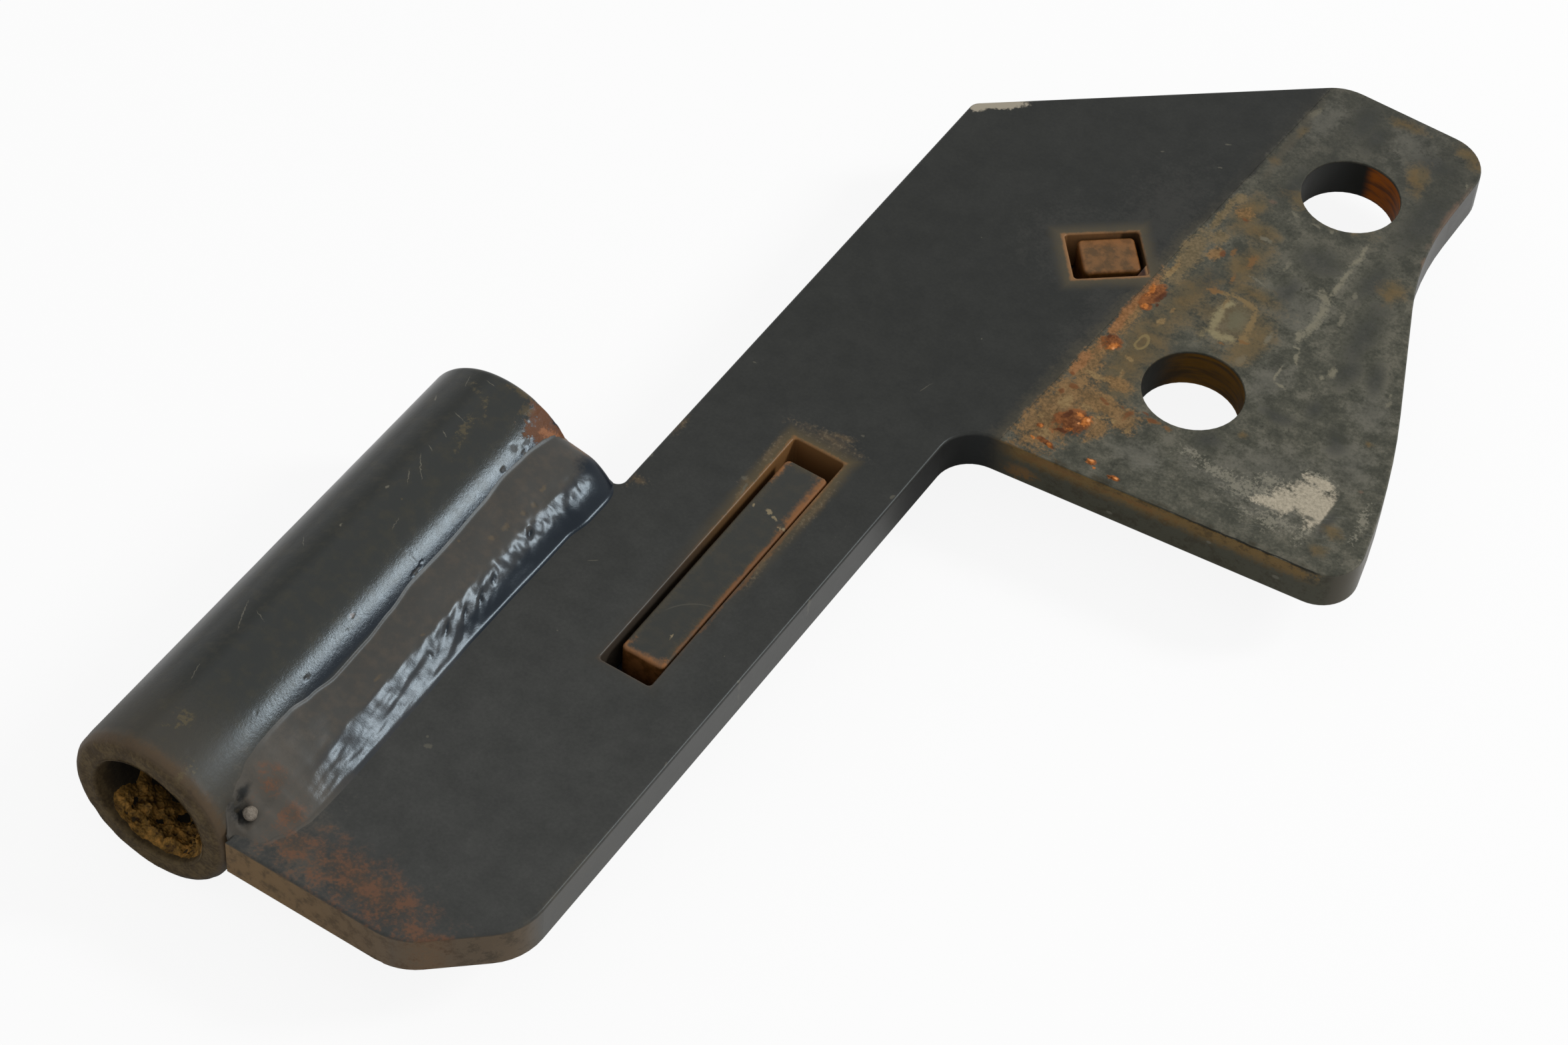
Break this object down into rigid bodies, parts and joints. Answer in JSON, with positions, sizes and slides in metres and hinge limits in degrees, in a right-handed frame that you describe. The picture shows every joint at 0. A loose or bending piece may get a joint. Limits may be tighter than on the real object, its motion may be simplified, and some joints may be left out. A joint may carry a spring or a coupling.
{
  "type": "utility vehicle door hinge leaf",
  "caption": "Welded steel door hinge leaf: a flat arm with a wide bolting head, a pivot tube along its edge and a stiffening rib plugged into slots from below.",
  "frame": {"origin": "on the pivot bore's axis, at half the barrel's length", "axes": "+Y along the bore from the barrel's open near end towards the bolting head, +X from the barrel across the arm, +Z out of the face that is clamped to the vehicle"},
  "size_m": [0.1073, 0.1838, 0.022],
  "materials": {
    "plate_paint": "satin charcoal paint, worn and rusted through on the bolting head",
    "tube_paint": "satin charcoal paint, rubbed brown at the rims, scaly rust in the bore",
    "rib_steel": "thin worn charcoal paint over brown-stained steel",
    "weld_paint": "glossy charcoal paint over a rippled weld bead",
    "rib_weld_paint": "satin charcoal paint over short weld beads"
  },
  "bodies": {
    "root": {"hinge_plate": "plate_paint", "pivot_tube": "tube_paint", "stiffener_rib": "rib_steel", "barrel_weld_top": "weld_paint", "barrel_weld_under": "weld_paint", "rib_weld_left": "rib_weld_paint", "rib_weld_right": "rib_weld_paint"}
  },
  "joints": []
}
